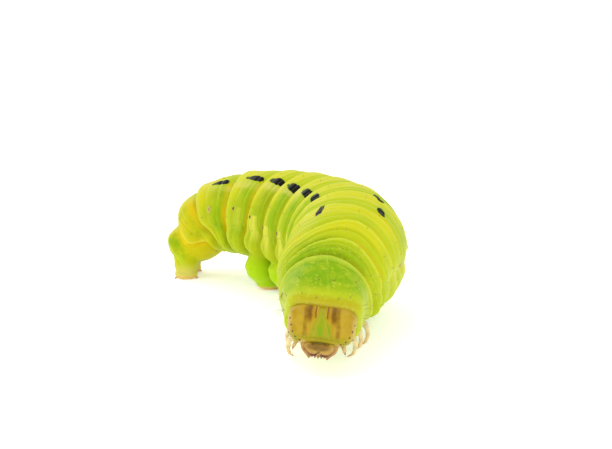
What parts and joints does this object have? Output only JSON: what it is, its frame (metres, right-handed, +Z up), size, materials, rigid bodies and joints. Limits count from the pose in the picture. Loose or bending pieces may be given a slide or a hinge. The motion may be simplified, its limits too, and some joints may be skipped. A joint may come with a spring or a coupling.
{
  "type": "large yellow underwing larva",
  "caption": "Life-size still model of a green noctuid moth larva at rest, its body bent to its right, standing on its legs and prolegs.",
  "frame": {"origin": "centre of the bounding box in plan, on the surface that the larva stands on", "axes": "+Z up; the head faces -Y; +X is the larva's left side at its head"},
  "size_m": [0.0175, 0.0286, 0.0088],
  "materials": {
    "skin": "soft satin, yellow in the folds between segments",
    "head": "smooth satin shell, olive amber with a green frontal triangle",
    "mouthparts": "satin, pinkish brown",
    "legs": "satin, pale amber with darker claws",
    "prolegs": "soft satin green, paler at the soles"
  },
  "bodies": {
    "root": {"head": "head", "labrum": "mouthparts", "labium": "mouthparts", "mandible_left": "mouthparts", "mandible_right": "mouthparts", "maxilla_left": "mouthparts", "maxilla_right": "mouthparts", "antenna_left": "legs", "antenna_right": "legs", "thorax_1": "skin", "thorax_2": "skin", "thorax_3": "skin", "abdomen_1": "skin", "abdomen_2": "skin", "abdomen_3": "skin", "abdomen_4": "skin", "abdomen_5": "skin", "abdomen_6": "skin", "abdomen_7": "skin", "abdomen_8": "skin", "abdomen_9": "skin", "abdomen_10": "skin", "leg_1_left": "legs", "leg_1_right": "legs", "leg_2_left": "legs", "leg_2_right": "legs", "leg_3_left": "legs", "leg_3_right": "legs", "proleg_3_left": "prolegs", "proleg_3_right": "prolegs", "proleg_4_left": "prolegs", "proleg_4_right": "prolegs", "proleg_5_left": "prolegs", "proleg_5_right": "prolegs", "proleg_6_left": "prolegs", "proleg_6_right": "prolegs", "anal_proleg_left": "prolegs", "anal_proleg_right": "prolegs"}
  },
  "joints": []
}
